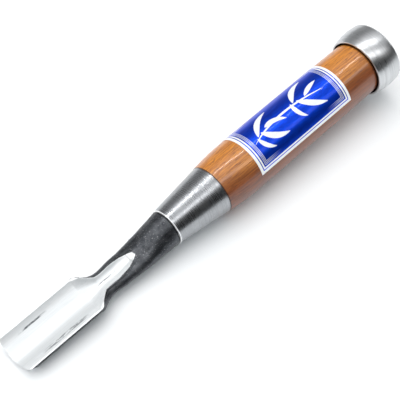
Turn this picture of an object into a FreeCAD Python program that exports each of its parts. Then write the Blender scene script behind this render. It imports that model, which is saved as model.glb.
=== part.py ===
import FreeCAD, Part
import math
import os

import Sketcher
from FreeCAD import Placement, Rotation, Vector

# A struck carving gouge with a laminated blade, a socket ferrule, a turned handle and a striking hoop.
# Millimetres. +X runs from the struck end of the handle to the cutting edge, +Z points up out of the
# channel, and the origin is the centre of the flat struck face.

DIMENSIONS = {
    # Handle: radii and places along X.
    "buttFaceRadius": 11.2,
    "buttEdgePlace": 1.6,
    "buttEdgeRadius": 12.81,
    "buttRounding": 1.8,
    "seatTopPlace": 13.0,
    "seatTopRadius": 13.6,
    "gripStartPlace": 17.0,
    "gripStartRadius": 13.9,
    "barrelStartPlace": 34.0,
    "barrelRadius": 14.1,
    "barrelEndPlace": 98.0,
    "handleShoulderPlace": 116.5,
    "handleShoulderRadius": 12.86,
    "handleFrontRounding": 140.0,
    # Striking hoop.
    "hoopEndPlace": 1.0,
    "hoopEndInnerRadius": 12.77,
    "hoopEndFlatRadius": 15.6,
    "hoopCornerPlace": 1.9,
    "hoopCornerRadius": 16.5,
    "hoopCornerRounding": 0.95,
    "hoopCrown": 30.8,
    "hoopLipPlace": 15.2,
    "hoopLipRadius": 15.7,
    "hoopMouthPlace": 15.6,
    "hoopMouthOuterRadius": 15.3,
    "hoopMouthInnerRadius": 14.85,
    # Ferrule: the tenon of the handle and the spigot of the neck meet inside it.
    "ferruleBackRadius": 12.74,
    "ferruleBackInnerRadius": 11.2,
    "ferruleFrontPlace": 145.1,
    "ferruleFrontRadius": 9.4,
    "ferruleFrontEase": 0.35,
    "tenonEndPlace": 138.1,
    "spigotRadius": 8.0,
    # Tang: a square taper driven into the handle.
    "tangRootWidth": 8.5,
    "tangTipWidth": 4.0,
    "tangTipPlace": 82.0,
    # Foil label round the handle.
    "labelStartPlace": 34.8,
    "labelEndPlace": 96.3,
    "labelOuterRadius": 14.25,
    "labelAngle": 137.0,
    "labelTurn": 3.5,
    # Blade: flat top of the rims, the ramp behind them, the channel and the bevel.
    "rimHeight": 1.4,
    "rampStartPlace": 193.6,
    "rampAngle": 9.0,
    "cutterHeight": 10.0,
    "cutterHalfWidth": 15.0,
    "liningThickness": 1.1,
    "edgePlace": 236.4,
    "bevelAngle": 28.0,
    "bevelAxisHeight": 9.8,
    "bevelEdgeRadius": 12.65,
    "bevelConeStart": 144.0,
}

# Cross sections of the forged neck and blade, from the ferrule to past the edge.
# Each is an ellipse: place along X, half width, half height, height of its centre.
FORGING_SECTIONS = {
    "collar": (145.1, 9.3, 9.3, 0.0),
    "neckTop": (151.8, 8.9, 7.75, -0.9),
    "neckUpper": (158.6, 8.65, 5.75, -1.75),
    "neckMiddle": (165.5, 8.3, 4.35, -2.4),
    "neckLower": (172.4, 7.85, 3.75, -2.45),
    "waist": (179.2, 7.45, 3.4, -2.4),
    "narrow": (185.1, 7.3, 3.35, -2.35),
    "flare": (190.5, 9.7, 4.9, -1.15),
    "shoulder": (194.9, 11.1, 6.3, 0.3),
    "bladeEnd": (239.0, 10.9, 6.1, 0.3),
}
NECK_STATIONS = ["collar", "neckTop", "neckUpper", "neckMiddle", "neckLower",
                 "waist", "narrow", "flare", "shoulder"]
BLADE_STATIONS = ["shoulder", "bladeEnd"]

# The hollow: circles that a round-nosed tool sweeps, from past the edge up into the neck.
# Place along X, radius, height of the centre. The lining ends between the middle and the exit.
SWEEP_SECTIONS = {
    "sweepEnd": (240.0, 14.2, 11.35),
    "sweepShoulder": (194.9, 14.2, 11.35),
    "sweepThroat": (186.1, 5.0, 3.25),
    "sweepWaist": (178.0, 5.0, 3.4),
    "sweepMiddle": (171.5, 5.0, 4.7),
    "liningTop": (168.6, 5.0, 5.765),
    "sweepExit": (163.6, 5.0, 7.6),
}
CHANNEL_STATIONS = ["sweepEnd", "sweepShoulder", "sweepThroat", "sweepWaist", "sweepMiddle", "sweepExit"]
LINING_STATIONS = ["sweepEnd", "sweepShoulder", "sweepThroat", "sweepWaist", "sweepMiddle", "liningTop"]

# Turns a flat XY figure so that its X, Y and normal become Y, Z and X.
FACE_ALONG_X = Rotation(Vector(1, 1, 1), 120)
# Turns an upright axis to lie along X.
UPRIGHT_TO_X = Rotation(Vector(0, 1, 0), 90)

document = FreeCAD.newDocument("CarvingGouge")
sheet = document.addObject("Spreadsheet::Sheet", "Dimensions")


def fill_sheet():
    """Write every driving dimension into the sheet, one aliased number a row."""
    values = dict(DIMENSIONS)
    for name, (place, half_width, half_height, height) in FORGING_SECTIONS.items():
        values[name + "Place"] = place
        values[name + "HalfWidth"] = half_width
        values[name + "HalfHeight"] = half_height
        values[name + "Height"] = height
    for name, (place, radius, height) in SWEEP_SECTIONS.items():
        values[name + "Place"] = place
        values[name + "Radius"] = radius
        values[name + "Height"] = height
    for row, (alias, value) in enumerate(values.items(), start=1):
        sheet.set(f"A{row}", alias)
        sheet.set(f"B{row}", str(value))
        sheet.setAlias(f"B{row}", alias)
    document.recompute()


def size(alias):
    """Return a dimension from the sheet as a number."""
    return float(sheet.get(alias))


def bind(thing, **formulas):
    """Bind properties of an object to formulas over the sheet's aliases."""
    for prop, formula in formulas.items():
        thing.setExpression(prop, formula)


def new_body(name):
    """Make a body whose label is the sub-part's name."""
    body = document.addObject("PartDesign::Body", name)
    body.Label = name
    return body


def origin_plane(body, role):
    """Find one of a body's own origin planes."""
    return next(item for item in body.Origin.OriginFeatures if item.Role == role)


def arc_between(start, end, radius):
    """Make an arc of the given radius that bulges to the left of the way from start to end."""
    chord = end - start
    middle = (start + end) * 0.5
    left = Vector(-chord.y, chord.x, 0).normalize()
    sagitta = radius - math.sqrt(radius ** 2 - (chord.Length / 2) ** 2)
    return Part.Arc(start, middle + left * sagitta, end)


def add_profile(body, name, corners, arcs):
    """Sketch a closed half profile on the XZ plane.

    corners: (place alias, radius alias) pairs, where an alias of None is zero.
    arcs: number of the side that starts at a corner, to the alias of its radius.
    """
    sketch = body.newObject("Sketcher::SketchObject", name)
    sketch.AttachmentSupport = [(origin_plane(body, "XZ_Plane"), "")]
    sketch.MapMode = "FlatFace"
    points = [Vector(size(place) if place else 0, size(radius) if radius else 0, 0)
              for place, radius in corners]
    count = len(points)
    for side in range(count):
        start = points[side]
        end = points[(side + 1) % count]
        if side in arcs:
            sketch.addGeometry(arc_between(start, end, size(arcs[side])), False)
        else:
            sketch.addGeometry(Part.LineSegment(start, end), False)
    first_ends = [start_vertex(sketch, side, points[side]) for side in range(count)]
    for side in range(count):
        following = (side + 1) % count
        last_end = 3 - first_ends[side]
        sketch.addConstraint(Sketcher.Constraint("Coincident", side, last_end,
                                                 following, first_ends[following]))
    for side, (place, radius) in enumerate(corners):
        pin_corner(sketch, side, first_ends[side], "DistanceX", place)
        pin_corner(sketch, side, first_ends[side], "DistanceY", radius)
    for side, alias in arcs.items():
        number = sketch.addConstraint(Sketcher.Constraint("Radius", side, size(alias)))
        sketch.setExpression(f"Constraints[{number}]", f"Dimensions.{alias}")
    return sketch


def start_vertex(sketch, side, start):
    """Tell which end of a side, 1 or 2, lies at its start: an arc may run either way."""
    first = sketch.getPoint(side, 1)
    last = sketch.getPoint(side, 2)
    return 1 if first.distanceToPoint(start) <= last.distanceToPoint(start) else 2


def pin_corner(sketch, side, vertex, direction, alias):
    """Hold one coordinate of a corner at a dimension of the sheet, or on the origin's axis."""
    origin_geometry = -1
    if alias is None:
        line = -1 if direction == "DistanceY" else -2
        sketch.addConstraint(Sketcher.Constraint("PointOnObject", side, vertex, line))
        return
    constraint = Sketcher.Constraint(direction, origin_geometry, 1, side, vertex, size(alias))
    number = sketch.addConstraint(constraint)
    sketch.setExpression(f"Constraints[{number}]", f"Dimensions.{alias}")


def revolve(body, sketch, name, angle_formula=None):
    """Turn a half profile about the X axis, all the way round or evenly to both sides of the top."""
    turned = body.newObject("PartDesign::Revolution", name)
    turned.Profile = sketch
    turned.ReferenceAxis = (sketch, ["H_Axis"])
    turned.Angle = 360.0
    if angle_formula:
        turned.Midplane = True
        turned.setExpression("Angle", angle_formula)
    sketch.Visibility = False
    return turned


def add_square(body, name, place, width):
    """Sketch a square section across the X axis at a place, centred on the axis."""
    sketch = body.newObject("Sketcher::SketchObject", name)
    sketch.AttachmentSupport = [(origin_plane(body, "YZ_Plane"), "")]
    sketch.MapMode = "FlatFace"
    sketch.setExpression("AttachmentOffset.Base.z", f"Dimensions.{place}")
    half = size(width) / 2
    corners = [Vector(-half, -half, 0), Vector(half, -half, 0), Vector(half, half, 0), Vector(-half, half, 0)]
    for side in range(4):
        sketch.addGeometry(Part.LineSegment(corners[side], corners[(side + 1) % 4]), False)
    for side in range(4):
        sketch.addConstraint(Sketcher.Constraint("Coincident", side, 2, (side + 1) % 4, 1))
    for side, direction in enumerate(["Horizontal", "Vertical", "Horizontal", "Vertical"]):
        sketch.addConstraint(Sketcher.Constraint(direction, side))
    sketch.addConstraint(Sketcher.Constraint("Symmetric", 0, 1, 2, 1, -1, 1))
    for side, direction in ((0, "DistanceX"), (1, "DistanceY")):
        number = sketch.addConstraint(Sketcher.Constraint(direction, side, 1, side, 2, size(width)))
        sketch.setExpression(f"Constraints[{number}]", f"Dimensions.{width}")
    return sketch


def make_handle():
    """Turned wooden handle: hoop seat, barrel, tenon for the ferrule and the tang's square hole."""
    body = new_body("handle")
    corners = [(None, None), (None, "buttFaceRadius"), ("buttEdgePlace", "buttEdgeRadius"),
               ("seatTopPlace", "seatTopRadius"), ("gripStartPlace", "gripStartRadius"),
               ("barrelStartPlace", "barrelRadius"), ("barrelEndPlace", "barrelRadius"),
               ("handleShoulderPlace", "handleShoulderRadius"),
               ("handleShoulderPlace", "ferruleBackInnerRadius"),
               ("tenonEndPlace", "spigotRadius"), ("tenonEndPlace", None)]
    profile = add_profile(body, "handleProfile", corners, {1: "buttRounding", 6: "handleFrontRounding"})
    turned = revolve(body, profile, "handleTurning")
    document.recompute()
    solid_volume = turned.Shape.Volume
    hole = body.newObject("PartDesign::SubtractiveLoft", "tangHole")
    hole.Profile = add_square(body, "holeMouth", "tenonEndPlace", "tangRootWidth")
    hole.Sections = [add_square(body, "holeBottom", "tangTipPlace", "tangTipWidth")]
    document.recompute()
    if hole.Shape.Volume >= solid_volume:
        raise RuntimeError("The tang's hole does not cut the handle.")
    return body


def make_striking_hoop():
    """Barrel-shaped steel hoop on the handle's tapered seat, with a flared mouth."""
    body = new_body("striking_hoop")
    corners = [("hoopEndPlace", "hoopEndInnerRadius"), ("hoopEndPlace", "hoopEndFlatRadius"),
               ("hoopCornerPlace", "hoopCornerRadius"), ("hoopLipPlace", "hoopLipRadius"),
               ("hoopMouthPlace", "hoopMouthOuterRadius"), ("hoopMouthPlace", "hoopMouthInnerRadius"),
               ("seatTopPlace", "seatTopRadius"), ("buttEdgePlace", "buttEdgeRadius")]
    profile = add_profile(body, "hoopProfile", corners, {1: "hoopCornerRounding", 2: "hoopCrown"})
    revolve(body, profile, "hoopTurning")
    return body


def make_ferrule():
    """Conical steel socket between the handle and the neck, with an eased front edge."""
    body = new_body("ferrule")
    corners = [("handleShoulderPlace", "ferruleBackInnerRadius"), ("handleShoulderPlace", "ferruleBackRadius"),
               ("ferruleFrontPlace", "ferruleFrontRadius"), ("ferruleFrontPlace", "spigotRadius"),
               ("tenonEndPlace", "spigotRadius")]
    profile = add_profile(body, "ferruleProfile", corners, {})
    turned = revolve(body, profile, "ferruleTurning")
    document.recompute()
    ease = body.newObject("PartDesign::Chamfer", "ferruleFrontEase")
    ease.Base = (turned, [front_edge_name(turned.Shape)])
    ease.setExpression("Size", "Dimensions.ferruleFrontEase")
    return body


def front_edge_name(shape):
    """Name the circular edge at the ferrule's front, on its outside."""
    for number, edge in enumerate(shape.Edges, start=1):
        curve = edge.Curve
        if not isinstance(curve, Part.Circle):
            continue
        at_front = abs(curve.Center.x - size("ferruleFrontPlace")) < 1e-6
        if at_front and abs(curve.Radius - size("ferruleFrontRadius")) < 1e-6:
            return f"Edge{number}"
    raise RuntimeError("The ferrule has no front edge.")


def make_label():
    """Thin printed label glued round the top of the handle's barrel."""
    body = new_body("label")
    corners = [("labelStartPlace", "barrelRadius"), ("labelEndPlace", "barrelRadius"),
               ("labelEndPlace", "labelOuterRadius"), ("labelStartPlace", "labelOuterRadius")]
    profile = add_profile(body, "labelProfile", corners, {})
    revolve(body, profile, "labelWrap", "Dimensions.labelAngle")
    body.Placement = Placement(Vector(0, 0, 0), Rotation(Vector(1, 0, 0), -size("labelTurn")))
    return body


def forging_section(name):
    """Elliptical section of the forging at one station."""
    section = document.addObject("Part::Ellipse", name + "Section")
    section.Placement = Placement(Vector(0, 0, 0), FACE_ALONG_X)
    section.MajorRadius = size(name + "HalfWidth")
    bind(section, **{"Placement.Base.x": f"Dimensions.{name}Place",
                     "Placement.Base.z": f"Dimensions.{name}Height",
                     "MajorRadius": f"Dimensions.{name}HalfWidth",
                     "MinorRadius": f"Dimensions.{name}HalfHeight"})
    return section


def sweep_section(station, layer, growth="0"):
    """Circle swept by the hollowing tool at one station, grown by a formula for the lining's layer."""
    section = document.addObject("Part::Circle", f"{station}Of{layer}")
    section.Placement = Placement(Vector(0, 0, 0), FACE_ALONG_X)
    bind(section, **{"Placement.Base.x": f"Dimensions.{station}Place",
                     "Placement.Base.z": f"Dimensions.{station}Height",
                     "Radius": f"Dimensions.{station}Radius + {growth}"})
    return section


def loft(name, sections, straight):
    """Solid through sections, straight between them or smooth."""
    solid = document.addObject("Part::Loft", name)
    solid.Sections = sections
    solid.Solid = True
    solid.Ruled = straight
    return solid


def boolean(kind, name, first, second):
    """Cut, Common or Fuse of two solids."""
    result = document.addObject("Part::" + kind, name)
    result.Base = first
    result.Tool = second
    return result


def make_forging():
    """Outer form of neck and blade: smooth neck, straight blade and the bevel outside."""
    sections = {name: forging_section(name) for name in FORGING_SECTIONS}
    neck = loft("neckForm", [sections[name] for name in NECK_STATIONS], False)
    blade = loft("bladeForm", [sections[name] for name in BLADE_STATIONS], True)
    outside = boolean("Fuse", "outerForm", neck, blade)
    bevel = document.addObject("Part::Cone", "bevelCone")
    bevel.Placement = Placement(Vector(0, 0, 0), UPRIGHT_TO_X)
    cone_length = "(Dimensions.edgePlace - Dimensions.bevelConeStart)"
    bind(bevel, **{"Placement.Base.x": "Dimensions.bevelConeStart",
                   "Placement.Base.z": "Dimensions.bevelAxisHeight",
                   "Height": cone_length,
                   "Radius1": "Dimensions.bevelEdgeRadius"
                              f" + {cone_length} * tan(Dimensions.bevelAngle * 1 deg)",
                   "Radius2": "Dimensions.bevelEdgeRadius"})
    return boolean("Common", "bevelledForm", outside, bevel)


def make_rim_cutter():
    """Wedge above the rims: level over the blade and rising along the ramp towards the neck."""
    cutter = document.addObject("Part::Wedge", "rimCutter")
    cutter.Placement = Placement(Vector(0, 0, 0), Rotation(Vector(1, 0, 0), 90))
    run = "Dimensions.cutterHeight / tan(Dimensions.rampAngle * 1 deg)"
    blade_end = "Dimensions.bladeEndPlace + 1"
    bind(cutter, Xmin="Dimensions.rampStartPlace",
         X2min=f"Dimensions.rampStartPlace - {run}",
         Xmax=blade_end,
         X2max=blade_end,
         Ymin="Dimensions.rimHeight",
         Ymax="Dimensions.rimHeight + Dimensions.cutterHeight",
         Zmin="-Dimensions.cutterHalfWidth",
         Z2min="-Dimensions.cutterHalfWidth",
         Zmax="Dimensions.cutterHalfWidth",
         Z2max="Dimensions.cutterHalfWidth")
    return cutter


def make_tang():
    """Spigot that fills the ferrule's front, with the square tang behind it."""
    spigot = document.addObject("Part::Cylinder", "spigot")
    spigot.Placement = Placement(Vector(0, 0, 0), UPRIGHT_TO_X)
    bind(spigot, **{"Placement.Base.x": "Dimensions.tenonEndPlace",
                    "Radius": "Dimensions.spigotRadius",
                    "Height": "Dimensions.collarPlace - Dimensions.tenonEndPlace"})
    squares = []
    for name, place, width in (("tangTip", "tangTipPlace", "tangTipWidth"),
                               ("tangRoot", "tenonEndPlace", "tangRootWidth")):
        square = document.addObject("Part::Plane", name)
        square.Placement = Placement(Vector(0, 0, 0), FACE_ALONG_X)
        bind(square, **{"Placement.Base.x": f"Dimensions.{place}",
                        "Placement.Base.y": f"-Dimensions.{width} / 2",
                        "Placement.Base.z": f"-Dimensions.{width} / 2",
                        "Length": f"Dimensions.{width}",
                        "Width": f"Dimensions.{width}"})
        squares.append(square)
    tang = loft("tangTaper", squares, True)
    return boolean("Fuse", "tangAndSpigot", spigot, tang)


def hollow(name, blank, rim_cutter, channel):
    """Cut the rims and the channel out of one layer of the forging."""
    rimmed = boolean("Cut", name + "Rimmed", blank, rim_cutter)
    return boolean("Cut", name, rimmed, channel)


def make_blade():
    """Split the forging into its soft iron body and its hard steel lining, and hollow both."""
    forging = make_forging()
    rim_cutter = make_rim_cutter()
    channel_circles = [sweep_section(station, "Channel") for station in CHANNEL_STATIONS]
    channel = loft("channelSweep", channel_circles, True)
    lining_circles = [sweep_section(station, "Lining", "Dimensions.liningThickness")
                      for station in LINING_STATIONS]
    lining_space = loft("liningSpace", lining_circles, True)
    lining_blank = boolean("Common", "liningBlank", forging, lining_space)
    lining = hollow("blade_steel_lining", lining_blank, rim_cutter, channel)
    iron_blank = boolean("Cut", "ironBlank", forging, lining_space)
    hollow_iron = hollow("hollowIron", iron_blank, rim_cutter, channel)
    iron = boolean("Fuse", "blade_iron_body", hollow_iron, make_tang())
    return [iron, lining]


def check_document():
    """Recompute everything and stop on any object that failed."""
    document.recompute()
    for item in document.Objects:
        if "Invalid" in item.State or "Error" in item.State:
            raise RuntimeError(f"{item.Name} failed: {item.State}")


def check_parts(parts):
    """Stop on any sub-part that is not one valid solid."""
    for part in parts:
        shape = part.Shape
        if shape.isNull() or not shape.isValid() or len(shape.Solids) != 1:
            raise RuntimeError(f"{part.Label} is not one valid solid.")


def export_parts(parts):
    """Write each sub-part to parts/ under its own label and print its volume and extent."""
    os.makedirs("parts", exist_ok=True)
    for part in parts:
        shape = part.Shape
        shape.exportStep(f"parts/{part.Label}.step")
        box = shape.optimalBoundingBox(False)
        print(f"{part.Label}: {shape.Volume:.1f} mm3, X {box.XMin:.2f} to {box.XMax:.2f}, "
              f"Y {box.YMin:.2f} to {box.YMax:.2f}, Z {box.ZMin:.2f} to {box.ZMax:.2f}")


fill_sheet()
sub_parts = [make_handle(), make_striking_hoop(), make_ferrule(), make_label()]
sub_parts.extend(make_blade())
check_document()
check_parts(sub_parts)
export_parts(sub_parts)
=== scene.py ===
import math

import bmesh
import bpy
import numpy as np
from mathutils import Matrix, Vector, noise


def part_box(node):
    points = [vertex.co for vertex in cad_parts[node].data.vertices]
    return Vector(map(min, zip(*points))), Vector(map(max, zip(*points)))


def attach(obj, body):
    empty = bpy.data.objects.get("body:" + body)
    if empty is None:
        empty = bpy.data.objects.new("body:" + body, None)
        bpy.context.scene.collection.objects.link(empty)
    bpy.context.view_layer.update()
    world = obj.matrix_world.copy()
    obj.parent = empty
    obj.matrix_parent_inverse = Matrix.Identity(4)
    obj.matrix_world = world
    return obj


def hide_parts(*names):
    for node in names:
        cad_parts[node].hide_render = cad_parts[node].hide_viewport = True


# A struck carving gouge lying on a pale floor. Shapes are worked out in millimetres in the frame's axes:
# +X runs from the struck end of the handle to the cutting edge and +Z points up out of the channel.

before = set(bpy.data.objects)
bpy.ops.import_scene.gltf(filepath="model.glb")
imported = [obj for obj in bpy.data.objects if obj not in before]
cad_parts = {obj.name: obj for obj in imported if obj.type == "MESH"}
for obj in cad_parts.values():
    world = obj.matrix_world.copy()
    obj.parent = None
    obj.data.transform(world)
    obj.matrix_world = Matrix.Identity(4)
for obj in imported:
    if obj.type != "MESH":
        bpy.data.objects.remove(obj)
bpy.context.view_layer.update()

MM = 0.001
WORLD_STRENGTH = 0.8


def box_mm(node):
    """Lowest and highest corner of a CAD node, in millimetres."""
    low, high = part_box(node)
    return [value / MM for value in low], [value / MM for value in high]


# ---------------------------------------------------------------- sizes, from the frame where it has them

HANDLE_HIGH = box_mm("handle")[1]
HOOP_LOW, HOOP_HIGH = box_mm("striking_hoop")
FERRULE_LOW, FERRULE_HIGH = box_mm("ferrule")
LABEL_LOW, LABEL_HIGH = box_mm("label")
LINING_HIGH = box_mm("blade_steel_lining")[1]

BARREL_RADIUS = HANDLE_HIGH[2]
FERRULE_BACK = FERRULE_LOW[0]
FERRULE_FRONT = FERRULE_HIGH[0]
FERRULE_BACK_RADIUS = FERRULE_HIGH[2]
FERRULE_FRONT_RADIUS = 9.4
EDGE_PLACE = LINING_HIGH[0]

# Inner shapes that the handle, the hoop and the ferrule share.
SEAT_BACK = (1.6, 12.81)
SEAT_FRONT = (13.0, 13.6)
TENON_BACK_RADIUS = 11.2
TENON_FRONT = (138.1, 8.0)
HANDLE_SHOULDER_RADIUS = 12.86
HANDLE_FRONT_ROUNDING = 140.0
HOOP_MOUTH_RADIUS = 14.85

# Label: how far its sides lie round the barrel from the top, in degrees and in millimetres, + near.
LABEL_NEAR_ANGLE = 72.0
LABEL_FAR_ANGLE = -65.0
LABEL_NEAR = math.radians(LABEL_NEAR_ANGLE) * BARREL_RADIUS
LABEL_FAR = math.radians(LABEL_FAR_ANGLE) * BARREL_RADIUS

# The hollow of the blade: place, radius and height of the centre of the circle that sweeps it.
CHANNEL = [(163.6, 5.0, 7.6), (171.5, 5.0, 4.7), (178.0, 5.0, 3.4), (186.1, 5.0, 3.25),
           (194.9, 14.2, 11.35), (240.0, 14.2, 11.35)]
BEVEL_AXIS_HEIGHT = 9.8
BEVEL_EDGE_RADIUS = 12.65
BEVEL_SLOPE = math.tan(math.radians(28.0))

# Sides of a turned piece, and the edge length that the forging's mesh is divided to.
TURNING_STEPS = 288
FORGING_EDGE = 0.65


# ---------------------------------------------------------------- mesh helpers


def smooth_mesh(name, vertices, faces):
    """Make a mesh object from millimetre points."""
    mesh = bpy.data.meshes.new(name)
    mesh.from_pydata([(x * MM, y * MM, z * MM) for x, y, z in vertices], [], faces)
    mesh.update()
    return smooth_object(name, mesh, 35.0)


def smooth_object(name, mesh, sharp_degrees):
    """Put a mesh into the scene, shaded smooth except at edges sharper than the angle."""
    mesh.shade_smooth()
    mesh.set_sharp_from_angle(angle=math.radians(sharp_degrees))
    piece = bpy.data.objects.new(name, mesh)
    bpy.context.scene.collection.objects.link(piece)
    return piece


def lathe(name, outline, closed, relief=None):
    """Turn an outline of (place, radius) points about the X axis.

    A closed outline makes a ring. An open one starts and ends on the axis.
    relief(place, angle) adds to the radius.
    """
    vertices = []
    rings = []
    for place, radius in outline:
        if radius == 0.0:
            rings.append([len(vertices)] * TURNING_STEPS)
            vertices.append((place, 0.0, 0.0))
            continue
        rings.append(list(range(len(vertices), len(vertices) + TURNING_STEPS)))
        for step in range(TURNING_STEPS):
            angle = 2 * math.pi * step / TURNING_STEPS
            out = radius + (relief(place, angle) if relief else 0.0)
            vertices.append((place, out * math.sin(angle), out * math.cos(angle)))
    faces = []
    pairs = list(zip(rings, rings[1:] + rings[:1])) if closed else list(zip(rings, rings[1:]))
    for first, second in pairs:
        for step in range(TURNING_STEPS):
            following = (step + 1) % TURNING_STEPS
            corners = [first[step], second[step], second[following], first[following]]
            face = list(dict.fromkeys(corners))
            if len(face) > 2:
                faces.append(face)
    return smooth_mesh(name, vertices, faces)


def straight(start, end, step):
    """Points along a straight run, without its end."""
    length = math.dist(start, end)
    count = max(1, round(length / step))
    return [(start[0] + (end[0] - start[0]) * i / count,
             start[1] + (end[1] - start[1]) * i / count) for i in range(count)]


def arc(start, end, radius, step):
    """Points along an arc that bulges to the left of its way, without its end."""
    chord = math.dist(start, end)
    along = ((end[0] - start[0]) / chord, (end[1] - start[1]) / chord)
    depth = math.sqrt(radius ** 2 - (chord / 2) ** 2)
    centre = ((start[0] + end[0]) / 2 + along[1] * depth, (start[1] + end[1]) / 2 - along[0] * depth)
    first = math.atan2(start[1] - centre[1], start[0] - centre[0])
    last = math.atan2(end[1] - centre[1], end[0] - centre[0])
    turn = (last - first + math.pi) % (2 * math.pi) - math.pi
    count = max(2, round(abs(turn) * radius / step))
    return [(centre[0] + radius * math.cos(first + turn * i / count),
             centre[1] + radius * math.sin(first + turn * i / count)) for i in range(count)]


def fade(value, low, high):
    """Go smoothly from 0 at low to 1 at high."""
    share = min(1.0, max(0.0, (value - low) / (high - low)))
    return share * share * (3 - 2 * share)


# ---------------------------------------------------------------- pieces


def make_handle():
    """Turned handle with a lightly peened butt, a cylindrical barrel and a tenon in the ferrule."""
    butt_face = (0.0, 11.2)
    butt_rounding = 1.8
    grip_start = (17.0, 13.9)
    barrel_start = (34.0, BARREL_RADIUS)
    barrel_end = (98.0, BARREL_RADIUS)
    front_end = (FERRULE_BACK - 0.25, HANDLE_SHOULDER_RADIUS + 0.01)
    front_ease = (FERRULE_BACK - 0.07, HANDLE_SHOULDER_RADIUS - 0.05)
    front_face = (FERRULE_BACK, HANDLE_SHOULDER_RADIUS - 0.2)
    tenon_back = (FERRULE_BACK, TENON_BACK_RADIUS)
    outline = [(0.0, 0.0)]
    outline += straight((0.0, 0.6), butt_face, 0.6)
    outline += arc(butt_face, SEAT_BACK, butt_rounding, 0.15)
    outline += straight(SEAT_BACK, SEAT_FRONT, 1.0)
    outline += straight(SEAT_FRONT, grip_start, 0.4)
    outline += straight(grip_start, barrel_start, 0.8)
    outline += straight(barrel_start, barrel_end, 0.8)
    outline += arc(barrel_end, front_end, HANDLE_FRONT_ROUNDING - 1.0, 0.6)
    outline += [front_end, front_ease]
    outline += straight(front_face, tenon_back, 0.6)
    outline += straight(tenon_back, TENON_FRONT, 3.0)
    outline += [TENON_FRONT, (TENON_FRONT[0], 0.0)]

    def relief(place, angle):
        """Slight waviness of the grip, none where the hoop and the ferrule sit."""
        depth = 0.05
        spot = Vector((place * 0.05, math.cos(angle), math.sin(angle)))
        free = fade(place, 14.0, 18.0) * (1 - fade(place, 115.0, 116.4))
        return -depth * free * (0.5 + 0.5 * noise.noise(spot * 1.4))

    return lathe("turned_handle", outline, False, relief)


def make_hoop():
    """Barrel-shaped hoop: rounded struck end, crowned outside, eased lip and a flared mouth, which its
    material paints dark as shade.
    """
    end = HOOP_LOW[0]
    mouth = HOOP_HIGH[0]
    inner_end = (end, 12.77)
    end_flat = (end, 15.6)
    corner = (1.9, 16.5)
    lip = (mouth - 0.4, 15.7)
    mouth_outer = (mouth, 15.3)
    mouth_inner = (mouth, HOOP_MOUTH_RADIUS)
    corner_rounding = 0.95
    crown = 30.8
    lip_rounding = 0.45
    outline = arc(end_flat, corner, corner_rounding, 0.1)
    outline += arc(corner, lip, crown, 0.12)
    outline += arc(lip, mouth_outer, lip_rounding, 0.08)
    outline += straight(mouth_outer, mouth_inner, 0.12)
    outline += straight(mouth_inner, SEAT_FRONT, 0.3)
    outline += straight(SEAT_FRONT, SEAT_BACK, 1.5)
    outline += straight(SEAT_BACK, inner_end, 0.4)
    outline += [inner_end]

    def relief(place, angle):
        """Turning rings and shallow dents on the crown."""
        ring_depth = 0.012
        dent_depth = 0.03
        if place < 1.8 or place > mouth - 0.5:
            return 0.0
        ring = noise.noise(Vector((place * 2.2, 3.0, 0.0)))
        dent = noise.noise(Vector((place * 0.16, 1.3 * math.cos(angle), 1.3 * math.sin(angle))))
        return -ring_depth * (1 + ring) - dent_depth * (1 + dent)

    return lathe("barrel_hoop", outline, True, relief)


def ferrule_relief(place, _angle):
    """Fine lathe rings on the cone, deeper in a band near its back."""
    ring_pitch = 0.85
    ring_depth = 0.028
    fine_depth = 0.006
    band = fade(place, FERRULE_BACK + 2.4, FERRULE_BACK + 3.0)
    band *= 1 - fade(place, FERRULE_BACK + 7.0, FERRULE_BACK + 7.8)
    rings = 0.5 - 0.5 * math.cos(2 * math.pi * place / ring_pitch)
    drift = noise.noise(Vector((place * 3.0, 0.0, 7.0)))
    return -ring_depth * band * rings - fine_depth * (1 + drift)


def make_ferrule():
    """Conical ferrule with an eased rim at the front, which its material paints bright as a highlight, and a
    thin lip at the back.
    """
    slope = (FERRULE_FRONT_RADIUS - FERRULE_BACK_RADIUS) / (FERRULE_FRONT - FERRULE_BACK)
    back_ease = 0.2
    front_ease = 0.45
    lip = (FERRULE_BACK, FERRULE_BACK_RADIUS - back_ease)
    back = (FERRULE_BACK + back_ease, FERRULE_BACK_RADIUS + slope * back_ease)
    front = (FERRULE_FRONT - front_ease, FERRULE_FRONT_RADIUS - slope * front_ease)
    front_face = (FERRULE_FRONT, FERRULE_FRONT_RADIUS - front_ease)
    bore_front = (FERRULE_FRONT, TENON_FRONT[1])
    bore_back = (FERRULE_BACK, TENON_BACK_RADIUS)
    outline = straight(lip, back, 0.1)
    outline += straight(back, front, 0.11)
    outline += arc(front, front_face, front_ease * 1.05, 0.06)
    outline += straight(front_face, bore_front, 0.2)
    outline += straight(bore_front, TENON_FRONT, 2.0)
    outline += straight(TENON_FRONT, bore_back, 3.0)
    outline += [bore_back]
    return lathe("cone_ferrule", outline, True, ferrule_relief)


def channel_circle(place):
    """Radius and centre height of the circle that sweeps the hollow at a place along the blade."""
    places = [row[0] for row in CHANNEL]
    radius = np.interp(place, places, [row[1] for row in CHANNEL])
    height = np.interp(place, places, [row[2] for row in CHANNEL])
    return radius, height


def finer_copy(node, name):
    """Copy of a CAD node's mesh, with every long edge divided so that its skin can be worked."""
    most_rounds = 9
    same_point = 0.0001 * MM
    work = bmesh.new()
    work.from_mesh(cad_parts[node].data)
    bmesh.ops.remove_doubles(work, verts=work.verts, dist=same_point)
    bmesh.ops.triangulate(work, faces=work.faces)
    for _ in range(most_rounds):
        long_edges = [edge for edge in work.edges if edge.calc_length() > FORGING_EDGE * MM]
        if not long_edges:
            break
        bmesh.ops.subdivide_edges(work, edges=long_edges, cuts=1)
        bmesh.ops.triangulate(work, faces=[face for face in work.faces if len(face.verts) > 3])
    mesh = bpy.data.meshes.new(name)
    work.to_mesh(mesh)
    work.free()
    return mesh


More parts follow.
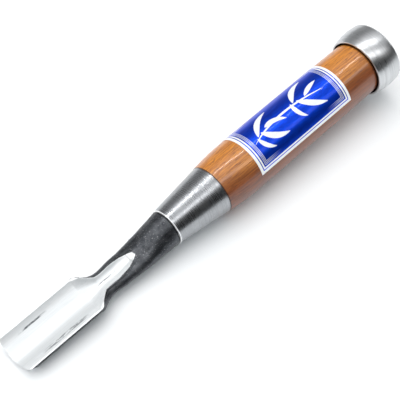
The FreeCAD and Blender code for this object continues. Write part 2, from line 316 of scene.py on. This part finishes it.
def make_blade_layer(node, name):
    """One layer of the forging, with a hammered skin."""
    mesh = finer_copy(node, name)
    roughen(mesh)
    return smooth_object(name, mesh, 38.0)


def roughen(mesh):
    """Push the forged skin in by an uneven hammered depth, and leave the ground faces true."""
    count = len(mesh.vertices)
    points = np.empty(count * 3)
    normals = np.empty(count * 3)
    mesh.vertices.foreach_get("co", points)
    mesh.vertices.foreach_get("normal", normals)
    points = points.reshape(-1, 3) / MM
    normals = normals.reshape(-1, 3)
    depth = np.array([forged_depth(point) for point in points])
    points -= normals * depth[:, None]
    mesh.vertices.foreach_set("co", (points * MM).ravel())
    mesh.update()


def forged_depth(point):
    """How far the forged skin lies under the true form, in millimetres."""
    collar_step = 0.38
    hammer_depth = 0.16
    scale_depth = 0.07
    pit_depth = 0.16
    place, across, height = (float(value) for value in point)
    if place < FERRULE_FRONT:
        return 0.0
    collar = collar_step * (1 - fade(place, FERRULE_FRONT, FERRULE_FRONT + 0.55))
    radius, centre = channel_circle(place)
    over_channel = math.hypot(across, height - centre) - radius
    bevel_radius = BEVEL_EDGE_RADIUS + (EDGE_PLACE - place) * BEVEL_SLOPE
    under_bevel = bevel_radius - math.hypot(across, height - BEVEL_AXIS_HEIGHT)
    skin = fade(over_channel, 0.15, 1.4) * fade(under_bevel, 0.1, 1.2)
    spot = Vector((place, across, height))
    hammered = 0.5 + 0.5 * noise.noise(spot * 0.22)
    scale = 0.5 + 0.5 * noise.noise(spot * 0.8)
    pits = max(0.0, noise.noise(spot * 1.5) - 0.25)
    return collar + skin * (hammer_depth * hammered + scale_depth * scale + pit_depth * pits)


def wrap(place, arc_length, radius):
    """Point on the handle at an arc length from the top, positive towards +Y."""
    angle = arc_length / BARREL_RADIUS
    return (place, radius * math.sin(angle), radius * math.cos(angle))


def sheet_on_handle(columns, inner, outer):
    """Closed thin sheet over the handle from columns of (place, arc length) points."""
    rows = len(columns[0])
    vertices = []
    for radius in (outer, inner):
        for column in columns:
            vertices += [wrap(place, length, radius) for place, length in column]
    layer = len(columns) * rows

    def number(column, row, below):
        return below * layer + column * rows + row

    faces = []
    for column in range(len(columns) - 1):
        for row in range(rows - 1):
            top = [number(column, row, 0), number(column + 1, row, 0),
                   number(column + 1, row + 1, 0), number(column, row + 1, 0)]
            faces.append(top)
            faces.append([index + layer for index in reversed(top)])
        for row, flip in ((0, False), (rows - 1, True)):
            side = [number(column, row, 0), number(column, row, 1),
                    number(column + 1, row, 1), number(column + 1, row, 0)]
            faces.append(side[::-1] if flip else side)
    for row in range(rows - 1):
        for column, flip in ((0, True), (len(columns) - 1, False)):
            side = [number(column, row, 0), number(column, row, 1),
                    number(column, row + 1, 1), number(column, row + 1, 0)]
            faces.append(side[::-1] if flip else side)
    return vertices, faces


def make_label():
    """Printed foil wrapped round the top of the barrel."""
    steps_along = 124
    steps_across = 96
    places = np.linspace(LABEL_LOW[0], LABEL_HIGH[0], steps_along + 1)
    lengths = np.linspace(LABEL_FAR, LABEL_NEAR, steps_across + 1)
    columns = [[(place, length) for length in lengths] for place in places]
    vertices, faces = sheet_on_handle(columns, BARREL_RADIUS + 0.004, LABEL_HIGH[2] - 0.002)
    return smooth_mesh("foil_label", vertices, faces)


def brush_stroke(points, widest, lean):
    """Columns across a tapered stroke along a quadratic curve of (place, arc length) points."""
    start, bend, end = points
    steps = 28
    columns = []
    for i in range(steps + 1):
        t = i / steps
        centre = [(1 - t) ** 2 * start[k] + 2 * t * (1 - t) * bend[k] + t ** 2 * end[k] for k in (0, 1)]
        along = [2 * (1 - t) * (bend[k] - start[k]) + 2 * t * (end[k] - bend[k]) for k in (0, 1)]
        length = math.hypot(*along)
        swell = math.sin(math.pi * t ** lean) ** 0.75 if 0 < t < 1 else 0.0
        half = widest / 2 * max(swell, 0.04)
        side = (-along[1] / length * half, along[0] / length * half)
        columns.append([(centre[0] + side[0] * share, centre[1] + side[1] * share)
                        for share in (-1.0, -0.5, 0.0, 0.5, 1.0)])
    return columns


# A sprig of leaves: start, bend and end of each stroke as (place, arc length from the top), its
# greatest width, and how far the widest part leans towards the start (below 1) or the end (above 1).
SPRIG = [
    ((91.0, 4.0), (72.0, -3.0), (44.5, 3.5), 1.1, 1.0),
    ((87.0, 2.0), (82.0, -6.5), (73.5, -7.5), 2.9, 0.8),
    ((84.5, 1.0), (80.5, 8.0), (72.5, 9.0), 3.1, 0.8),
    ((81.0, 0.2), (75.0, -1.2), (69.5, 3.4), 2.5, 0.8),
    ((88.0, 2.4), (87.5, 8.0), (82.5, 10.4), 2.3, 0.8),
    ((61.5, -0.2), (56.5, -8.5), (48.5, -8.8), 3.0, 0.8),
    ((59.5, 0.0), (54.5, 7.0), (46.8, 9.6), 3.0, 0.8),
    ((54.5, 0.8), (49.0, -2.0), (44.0, -2.2), 2.3, 0.8),
    ((63.0, -0.6), (64.5, 5.5), (60.0, 9.0), 2.3, 0.8),
]


def make_sprig():
    """Generic brushed sprig printed on the label, as a film of white ink."""
    vertices = []
    faces = []
    ink_inner = LABEL_HIGH[2] - 0.001
    ink_outer = LABEL_HIGH[2] + 0.012
    for start, bend, end, widest, lean in SPRIG:
        columns = brush_stroke((start, bend, end), widest, lean)
        new_vertices, new_faces = sheet_on_handle(columns, ink_inner, ink_outer)
        base = len(vertices)
        vertices += new_vertices
        faces += [[index + base for index in face] for face in new_faces]
    return smooth_mesh("label_sprig", vertices, faces)


# ---------------------------------------------------------------- material helpers


class Nodes:
    """Short way to build a material's node tree."""

    def __init__(self, name):
        self.material = bpy.data.materials.new(name)
        self.material.use_nodes = True
        self.tree = self.material.node_tree
        self.shader = next(node for node in self.tree.nodes if node.type == "BSDF_PRINCIPLED")
        self.place = self.add("ShaderNodeTexCoord").outputs["Object"]

    def add(self, kind, **settings):
        node = self.tree.nodes.new(kind)
        for key, value in settings.items():
            setattr(node, key, value)
        return node

    def link(self, source, target):
        """Join an output to an input, or set the input to a plain value."""
        if isinstance(source, bpy.types.NodeSocket):
            self.tree.links.new(source, target)
        else:
            target.default_value = source

    def math(self, operation, first, second=0.0):
        node = self.add("ShaderNodeMath", operation=operation)
        self.link(first, node.inputs[0])
        self.link(second, node.inputs[1])
        return node.outputs[0]

    def length(self, first, second):
        """Length of a vector that has two parts."""
        squares = [self.math("MULTIPLY", part, part) for part in (first, second)]
        return self.math("SQRT", self.math("ADD", *squares))

    def parts(self, unit=None):
        """The place along the tool, across it and up, in metres or divided by a unit."""
        node = self.add("ShaderNodeSeparateXYZ")
        self.link(self.place, node.inputs[0])
        if unit is None:
            return list(node.outputs)
        return [self.math("DIVIDE", part, unit) for part in node.outputs]

    def noise(self, scale, stretch=(1, 1, 1), detail=3.0, roughness=0.5):
        """Noise with the given number of waves a metre, stretched by axis."""
        mapping = self.add("ShaderNodeMapping")
        mapping.inputs["Scale"].default_value = [scale * value for value in stretch]
        self.link(self.place, mapping.inputs["Vector"])
        node = self.add("ShaderNodeTexNoise")
        node.inputs["Scale"].default_value = 1.0
        node.inputs["Detail"].default_value = detail
        node.inputs["Roughness"].default_value = roughness
        self.link(mapping.outputs[0], node.inputs["Vector"])
        return node.outputs["Fac"]

    def spread(self, value, low, high, to_low=0.0, to_high=1.0, smooth=False):
        """Carry a value from one range over to another, and hold it at that one's ends."""
        node = self.add("ShaderNodeMapRange")
        node.interpolation_type = "SMOOTHSTEP" if smooth else "LINEAR"
        self.link(value, node.inputs["Value"])
        for name, number in (("From Min", low), ("From Max", high), ("To Min", to_low), ("To Max", to_high)):
            self.link(number, node.inputs[name])
        return node.outputs["Result"]

    def mix(self, share, first, second):
        node = self.add("ShaderNodeMix", data_type="RGBA")
        self.link(share, node.inputs[0])
        self.link(first, node.inputs[6])
        self.link(second, node.inputs[7])
        return node.outputs[2]

    def bump(self, height, distance, strength):
        node = self.add("ShaderNodeBump")
        node.inputs["Strength"].default_value = strength
        node.inputs["Distance"].default_value = distance
        self.link(height, node.inputs["Height"])
        return node.outputs[0]

    def set(self, **values):
        """Set the shader's inputs by name, with _ for a space."""
        for name, value in values.items():
            self.link(value, self.shader.inputs[name.replace("_", " ")])


def colour(red, green, blue):
    """Opaque colour from linear parts."""
    return (red, green, blue, 1.0)


# ---------------------------------------------------------------- materials


def varnished_wood():
    """Orange-brown hardwood: broad figure, fine lengthwise grain, short dark pores, clear varnish. The near
    side round the axis is painted dark brown as shade.
    """
    n = Nodes("varnished_wood")
    figure = n.noise(60, (0.25, 1, 1), 2.0)
    grain = n.noise(1500, (0.035, 1, 1), 4.0, 0.65)
    pores = n.noise(2600, (0.09, 1, 1), 2.0, 0.6)
    pore_mask = n.spread(pores, 0.57, 0.66)
    lit_side_wood = n.mix(n.spread(grain, 0.36, 0.64), colour(0.36, 0.108, 0.010), colour(0.76, 0.285, 0.024))
    painted_shade_wood = n.mix(n.spread(grain, 0.36, 0.64), colour(0.085, 0.016, 0.004), colour(0.24, 0.055, 0.008))
    along, across, height = n.parts()
    # Painted shade: from 15 to 62 degrees round the axis towards the near side, the wood goes from the lit
    # orange to a dark brown, as the shade on that side.
    side = n.math("ADD", n.math("ARCTAN2", across, height), n.spread(figure, 0.3, 0.7, -0.15, 0.15))
    base = n.mix(n.spread(side, math.radians(15), math.radians(62), smooth=True), lit_side_wood, painted_shade_wood)
    base = n.mix(n.spread(figure, 0.35, 0.7, 0.0, 0.3), base, colour(0.34, 0.09, 0.014))
    base = n.mix(n.math("MULTIPLY", pore_mask, 0.7), base, colour(0.12, 0.035, 0.012))
    place = n.math("DIVIDE", along, MM)
    # Painted shade: the wood is darkened where it goes into the hoop's mouth, as the shadow in the gap. It
    # is also darkened just behind the ferrule's back edge.
    mouth_painted_shade = n.math("MULTIPLY", n.spread(place, SEAT_FRONT[0] - 1.0, SEAT_FRONT[0]),
                        n.spread(place, HOOP_HIGH[0] - 0.3, HOOP_HIGH[0] + 0.9, 0.95, 0.0, smooth=True))
    joint_darkening = n.spread(place, FERRULE_BACK - 0.55, FERRULE_BACK - 0.1, 0.0, 0.9)
    mouth_shade_and_joint_dark = n.math("MAXIMUM", mouth_painted_shade, joint_darkening)
    base = n.mix(mouth_shade_and_joint_dark, base, colour(0.018, 0.008, 0.005))
    grain_height = n.math("SUBTRACT", grain, n.math("MULTIPLY", pore_mask, 0.8))
    n.set(Base_Color=base, Roughness=n.spread(grain, 0.3, 0.7, 0.38, 0.5),
          Normal=n.bump(grain_height, 0.04 * MM, 0.5))
    n.set(Coat_Weight=0.7, Coat_Roughness=0.12, Coat_IOR=1.5)
    return n.material


def turned_steel(name, bright, dull, roughness, ring_scale, shade_radius=0.0, highlight_from=None):
    """Satin lathe-turned steel with rings round the axis.

    It is painted black inside a radius, as the shade in the hoop's mouth. Forward of a place it is painted
    near-white and less metallic, as a highlight on the ferrule's front rim.
    """
    n = Nodes(name)
    rings = n.noise(ring_scale, (1, 0.004, 0.004), 3.0, 0.7)
    broad = n.noise(120, (1, 1, 1), 3.0)
    base = n.mix(n.spread(rings, 0.3, 0.7), dull, bright)
    along, across, height = n.parts()
    # Painted shade: black inside the radius, where the hoop's flared mouth and seat lie in shadow.
    recess_shade = n.spread(n.length(across, height), (shade_radius - 0.15) * MM, shade_radius * MM, 0.92, 0.0)
    base = n.mix(recess_shade, base, colour(0.02, 0.018, 0.018))
    rough = n.math("ADD", n.spread(rings, 0.3, 0.7, roughness + 0.06, roughness - 0.04),
                   n.spread(broad, 0.3, 0.7, -0.03, 0.04))
    metal = 1.0
    # Painted highlight: forward of this place the ferrule's front rim is near-white and less metallic, so
    # the matt lamps make it shine.
    if highlight_from:
        rim_highlight = n.spread(along, highlight_from * MM, (highlight_from + 0.12) * MM)
        base = n.mix(rim_highlight, base, colour(0.95, 0.955, 0.96))
        metal = n.spread(rim_highlight, 0.0, 1.0, 1.0, 0.3)
    n.set(Base_Color=base, Roughness=rough, Metallic=metal, Normal=n.bump(rings, 0.012 * MM, 0.6))
    return n.material


def channel_distance(n):
    """Distance in millimetres of a point outside the circle that sweeps the hollow."""
    along, across, height = n.parts(MM)
    radius, centre = CHANNEL[0][1:]
    for (start, start_radius, start_height), (end, end_radius, end_height) in zip(CHANNEL, CHANNEL[1:]):
        radius = n.math("ADD", radius, n.spread(along, start, end, 0.0, end_radius - start_radius))
        centre = n.math("ADD", centre, n.spread(along, start, end, 0.0, end_height - start_height))
    drop = n.math("SUBTRACT", height, centre)
    return n.math("SUBTRACT", n.length(across, drop), radius)


def bevel_distance(n):
    """Distance in millimetres of a point inside the bevel's cone."""
    along, across, height = n.parts(MM)
    widening = n.math("MULTIPLY", n.math("SUBTRACT", EDGE_PLACE, along), BEVEL_SLOPE)
    cone = n.math("ADD", widening, BEVEL_EDGE_RADIUS)
    drop = n.math("SUBTRACT", height, BEVEL_AXIS_HEIGHT)
    return n.math("SUBTRACT", cone, n.length(across, drop))


def ground_share(n):
    """1 on the faces that are ground bright, 0 on the black forged skin, with a slightly ragged edge.

    The ground face goes past the hollow's edge by the land: hardly at all on the neck, most at the
    shoulders and as far as the rims along the blade.
    """
    tongue_tip = 165.4
    along = n.parts(MM)[0]
    ragged = n.spread(n.noise(1300, (1, 1, 1), 2.0), 0.2, 0.8, -0.10, 0.10)
    at_shoulder = n.spread(along, 191.2, 192.6, 0.09, 1.1)
    past_shoulder = n.spread(along, 193.6, 195.2, 0.0, -0.48)
    land = n.math("ADD", at_shoulder, past_shoulder)
    over = n.math("ADD", n.math("SUBTRACT", channel_distance(n), land), ragged)
    hollow = n.spread(over, -0.02, 0.03, 1.0, 0.0)
    tongue = n.spread(n.math("ADD", along, n.math("MULTIPLY", ragged, 5.0)), tongue_tip, tongue_tip + 0.5)
    hollow = n.math("MULTIPLY", hollow, tongue)
    bevel = n.spread(bevel_distance(n), 0.05, 0.12, 1.0, 0.0)
    return n.math("MAXIMUM", hollow, bevel)


# Grinding stains on the hollow: ends along the tool, middle across it, half width, strength.
STAINS = [
    ((211.0, 228.0), -7.4, 0.5, 1.0),
    ((199.0, 226.0), 7.4, 1.3, 0.85),
    ((175.0, 189.0), -0.9, 0.4, 1.0),
]


def stain_share(n):
    """Dark scratchy streaks that the polishing left along the hollow."""
    run_out = 5.0
    along, across, _ = n.parts(MM)
    broken = n.spread(n.noise(900, (0.2, 1, 1), 4.0, 0.75), 0.44, 0.56)
    total = 0.0
    for (start, end), middle, half, strength in STAINS:
        begun = n.spread(along, start, start + run_out)
        unfinished = n.spread(along, end - run_out, end, 1.0, 0.0)
        offset = n.math("ABSOLUTE", n.math("SUBTRACT", across, middle))
        beside = n.spread(offset, half * 0.4, half, strength, 0.0)
        streak = n.math("MULTIPLY", n.math("MULTIPLY", begun, unfinished), beside)
        total = n.math("MAXIMUM", total, streak)
    return n.math("MULTIPLY", total, broken)


def blade_metal(name, bright):
    """Black forge scale outside, ground and polished metal in the hollow and on the bevel."""
    n = Nodes(name)
    ground = ground_share(n)
    scale_fine = n.noise(2200, (1, 1, 1), 5.0, 0.7)
    scale_broad = n.noise(350, (0.6, 1, 1), 4.0, 0.6)
    flecks = n.spread(n.noise(1500, (0.8, 1, 1), 3.0, 0.65), 0.60, 0.72)
    black = n.mix(n.spread(scale_broad, 0.35, 0.7), colour(0.045, 0.048, 0.054), colour(0.12, 0.125, 0.135))
    black = n.mix(n.math("MULTIPLY", flecks, 0.75), black, colour(0.42, 0.42, 0.43))
    scratches = n.noise(3000, (0.02, 1, 1), 3.0, 0.7)
    bands = n.noise(260, (0.02, 1, 1), 2.0)
    steel = n.mix(n.spread(bands, 0.38, 0.62), colour(0.67, 0.69, 0.70), bright)
    steel = n.mix(n.spread(scratches, 0.3, 0.7, 0.0, 0.35), steel, colour(0.92, 0.925, 0.93))
    steel = n.mix(stain_share(n), steel, colour(0.10, 0.11, 0.12))
    joint = n.spread(n.parts(MM)[0], FERRULE_FRONT + 0.5, FERRULE_FRONT + 1.0, 1.0, 0.0)
    black = n.mix(joint, black, colour(0.006, 0.006, 0.006))
    base = n.mix(ground, black, steel)
    black_rough = n.spread(scale_fine, 0.3, 0.7, 0.46, 0.30)
    steel_rough = n.spread(scratches, 0.3, 0.7, 0.46, 0.36)
    forged = n.math("SUBTRACT", 1.0, ground)
    rough = n.math("ADD", n.math("MULTIPLY", black_rough, forged), n.math("MULTIPLY", steel_rough, ground))
    metal = n.spread(ground, 0.0, 1.0, 0.9, 0.4)
    height = n.math("ADD", n.math("MULTIPLY", scale_fine, forged), n.math("MULTIPLY", scratches, 0.05))
    n.set(Base_Color=base, Roughness=rough, Metallic=metal, Normal=n.bump(height, 0.09 * MM, 0.8))
    return n.material


def printed_foil():
    """Glossy blue foil with ruled white borders, drawn by distance from the label's edges."""
    n = Nodes("printed_foil")
    thick_rules = [(-1.0, 1.45), (1.95, 2.75)]
    fine_rules = [3.5, 4.15, 4.8]
    fine_width = 0.3
    along, across, height = n.parts(MM)
    arc_length = n.math("MULTIPLY", n.math("ARCTAN2", across, height), BARREL_RADIUS)
    from_ends = n.math("MINIMUM", n.math("SUBTRACT", along, LABEL_LOW[0]),
                       n.math("SUBTRACT", LABEL_HIGH[0], along))
    from_sides = n.math("MINIMUM", n.math("SUBTRACT", arc_length, LABEL_FAR),
                        n.math("SUBTRACT", LABEL_NEAR, arc_length))
    inset = n.math("MINIMUM", from_ends, from_sides)
    white = 0.0
    for start, end in thick_rules:
        white = n.math("MAXIMUM", white, rule(n, inset, start, end))
    near_end = n.spread(from_ends, 5.0, 16.0, 0.75, 0.0, smooth=True)
    for start in fine_rules:
        fine = n.math("MULTIPLY", rule(n, inset, start, start + fine_width), near_end)
        white = n.math("MAXIMUM", white, fine)
    tint = n.noise(900, (0.3, 1, 1), 3.0)
    blue = n.mix(n.spread(tint, 0.3, 0.7), colour(0.0, 0.040, 0.55), colour(0.0, 0.060, 0.74))
    base = n.mix(white, blue, colour(0.86, 0.87, 0.88))
    metal = n.spread(white, 0.0, 1.0, 0.85, 0.0)
    n.set(Base_Color=base, Roughness=0.34, Metallic=metal, Normal=n.bump(tint, 0.01 * MM, 0.3))
    n.set(Coat_Weight=0.2, Coat_Roughness=0.06)
    return n.material


def rule(n, inset, start, end):
    """1 between two distances from the label's edge, with soft printed sides."""
    soft = 0.05
    rise = n.spread(inset, start - soft, start + soft)
    fall = n.spread(inset, end - soft, end + soft, 1.0, 0.0)
    return n.math("MULTIPLY", rise, fall)


def white_ink():
    """Opaque white ink under the label's gloss, slightly uneven."""
    n = Nodes("white_ink")
    cover = n.noise(1800, (1, 1, 1), 3.0)
    base = n.mix(n.spread(cover, 0.3, 0.7), colour(0.78, 0.8, 0.84), colour(0.9, 0.91, 0.92))
    n.set(Base_Color=base, Roughness=n.spread(cover, 0.3, 0.7, 0.4, 0.32))
    n.set(Coat_Weight=1.0, Coat_Roughness=0.08)
    return n.material


def floor_white():
    """Plain pale floor."""
    n = Nodes("floor_white")
    tone = n.noise(3, (1, 1, 1), 2.0)
    base = n.mix(tone, colour(0.95, 0.955, 0.96), colour(0.97, 0.975, 0.98))
    n.set(Base_Color=base, Roughness=0.75)
    return n.material


# ---------------------------------------------------------------- stage, lights and camera

# The tool lies on the heel of its bevel and on the rounded front of its handle, and the hoop is in the air:
# the floor is the tangent from the heel to the arc at the handle's front.
HEEL = (230.8, -5.84)
ARC_CENTRE = (98.1, HANDLE_FRONT_ROUNDING - BARREL_RADIUS)
HEEL_TO_CENTRE = (ARC_CENTRE[0] - HEEL[0], ARC_CENTRE[1] - HEEL[1])
TILT = (math.asin(HANDLE_FRONT_ROUNDING / math.hypot(*HEEL_TO_CENTRE))
        - math.atan(HEEL_TO_CENTRE[1] / -HEEL_TO_CENTRE[0]))
FLOOR_NORMAL = Vector((-math.sin(TILT), 0.0, math.cos(TILT)))


def make_floor():
    """Flat floor under the heel of the bevel and the front of the handle."""
    half = 1.6
    mesh = bpy.data.meshes.new("floor")
    mesh.from_pydata([(-half, -half, 0), (half, -half, 0), (half, half, 0), (-half, half, 0)], [],
                     [(0, 1, 2, 3)])
    floor = bpy.data.objects.new("floor", mesh)
    bpy.context.scene.collection.objects.link(floor)
    contact = Vector((HEEL[0] * MM, 0.0, HEEL[1] * MM))
    lean = FLOOR_NORMAL.to_track_quat("Z", "Y").to_matrix().to_4x4()
    floor.matrix_world = Matrix.Translation(contact) @ lean
    mesh.materials.append(floor_white())


def softbox(name, around, distance, across, along, radiance, yaw=0.0, only_reflected=False, tint=(1, 1, 1)):
    """Area light facing the tool's middle, at an angle round the tool's axis: 0 is above, + near.

    Distance and sizes are in metres, and yaw turns it about its own facing direction. It either lights
    matt surfaces or is seen in gloss.
    """
    light = bpy.data.lights.new(name, "AREA")
    light.shape = "RECTANGLE"
    light.size = across
    light.size_y = along
    light.energy = radiance * math.pi * across * along
    light.color = tint
    lamp = bpy.data.objects.new(name, light)
    bpy.context.scene.collection.objects.link(lamp)
    lamp.visible_glossy = only_reflected
    lamp.visible_diffuse = not only_reflected
    turn = math.radians(around)
    away = Vector((0.0, math.sin(turn), math.cos(turn)))
    side = Vector((1.0, 0.0, 0.0)).cross(away).normalized()
    forward = away.cross(side).normalized()
    rotation = Matrix((side, forward, away)).transposed().to_4x4()
    middle = Vector((120.0 * MM, 0.0, 0.0))
    spin = Matrix.Rotation(math.radians(yaw), 4, "Z")
    lamp.matrix_world = Matrix.Translation(middle + away * distance) @ rotation @ spin


# Surroundings: brightness by direction round the tool's axis, in degrees from above, + near.
SURROUNDINGS = [(-180, 0.55), (-95, 0.55), (-80, 0.5), (-65, 0.3), (-45, 0.35), (-30, 0.95), (0, 1.0),
                (15, 0.75), (26, 0.45), (35, 0.08), (60, 0.03), (88, 0.03), (95, 0.5), (180, 0.5)]


def make_world():
    """Studio surroundings by direction round the tool's axis: pale above, dark low on the near side."""
    world = bpy.data.worlds.new("studio")
    bpy.context.scene.world = world
    world.use_nodes = True
    tree = world.node_tree
    background = next(node for node in tree.nodes if node.type == "BACKGROUND")
    coordinates = tree.nodes.new("ShaderNodeTexCoord")
    parts = tree.nodes.new("ShaderNodeSeparateXYZ")
    tree.links.new(coordinates.outputs["Generated"], parts.inputs[0])
    turn = tree.nodes.new("ShaderNodeMath")
    turn.operation = "ARCTAN2"
    tree.links.new(parts.outputs[1], turn.inputs[0])
    tree.links.new(parts.outputs[2], turn.inputs[1])
    share = tree.nodes.new("ShaderNodeMapRange")
    share.inputs["From Min"].default_value = -math.pi
    share.inputs["From Max"].default_value = math.pi
    tree.links.new(turn.outputs[0], share.inputs["Value"])
    ramp = tree.nodes.new("ShaderNodeValToRGB")
    tree.links.new(share.outputs[0], ramp.inputs["Fac"])
    elements = ramp.color_ramp.elements
    while len(elements) < len(SURROUNDINGS):
        elements.new(0.5)
    for element, (degrees, value) in zip(elements, SURROUNDINGS):
        element.position = (degrees + 180) / 360
        element.color = (value * 0.97, value * 0.985, value, 1.0)
    tree.links.new(ramp.outputs["Color"], background.inputs["Color"])
    background.inputs["Strength"].default_value = WORLD_STRENGTH


def make_camera():
    """Camera level over the floor, looking down on the near side past the blade's end."""
    camera = bpy.data.cameras.new("camera")
    camera.lens = 108.0
    camera.sensor_width = 36.0
    camera.clip_start = 0.01
    viewer = bpy.data.objects.new("camera", camera)
    bpy.context.scene.collection.objects.link(viewer)
    target = Vector((124.0, 0.1, 0.0)) * MM
    offset = Vector((204.1, 233.4, 458.5)) * MM
    roll = math.radians(0.44)
    forward = -offset.normalized()
    right = forward.cross(FLOOR_NORMAL).normalized()
    up = right.cross(forward)
    level = Matrix((right, up, -forward)).transposed().to_4x4()
    viewer.matrix_world = Matrix.Translation(target + offset) @ level @ Matrix.Rotation(roll, 4, "Z")
    bpy.context.scene.camera = viewer


# ---------------------------------------------------------------- assembly


def dress(piece, material, node):
    """Give a piece its material and body, in place of a CAD node."""
    piece.data.materials.clear()
    piece.data.materials.append(material)
    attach(piece, "root")
    if node:
        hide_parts(node)


scene = bpy.context.scene
scene.view_settings.view_transform = "Standard"
scene.view_settings.look = "None"

make_camera()
make_floor()
make_world()
softbox("key_softbox", around=-20.0, distance=0.8, across=1.3, along=1.3, radiance=1.5)
softbox("near_fill", around=58.0, distance=0.8, across=1.2, along=1.4, radiance=0.8, tint=(0.90, 0.97, 1.0))
softbox("bright_tube", around=-23.0, distance=0.9, across=0.03, along=1.8, radiance=24.0,
        yaw=-28.0, only_reflected=True)
softbox("wide_band", around=20.0, distance=0.9, across=0.18, along=1.8, radiance=3.0,
        yaw=-28.0, only_reflected=True)

hoop_steel = turned_steel("hoop_steel", bright=colour(0.70, 0.71, 0.72), dull=colour(0.52, 0.53, 0.54),
                          roughness=0.30, ring_scale=900, shade_radius=HOOP_MOUTH_RADIUS - 0.05)
ferrule_steel = turned_steel("ferrule_steel", bright=colour(0.44, 0.45, 0.465),
                             dull=colour(0.31, 0.32, 0.335), roughness=0.27, ring_scale=2600,
                             highlight_from=FERRULE_FRONT - 0.5)
forged_iron = blade_metal("forged_iron", bright=colour(0.74, 0.75, 0.755))
edge_steel = blade_metal("edge_steel", bright=colour(0.76, 0.77, 0.775))

dress(make_handle(), varnished_wood(), "handle")
dress(make_hoop(), hoop_steel, "striking_hoop")
dress(make_ferrule(), ferrule_steel, "ferrule")
forged_body = make_blade_layer("blade_iron_body", "forged_body")
dress(forged_body, forged_iron, "blade_iron_body")
steel_lining = make_blade_layer("blade_steel_lining", "steel_lining")
dress(steel_lining, edge_steel, "blade_steel_lining")
dress(make_label(), printed_foil(), "label")
dress(make_sprig(), white_ink(), None)
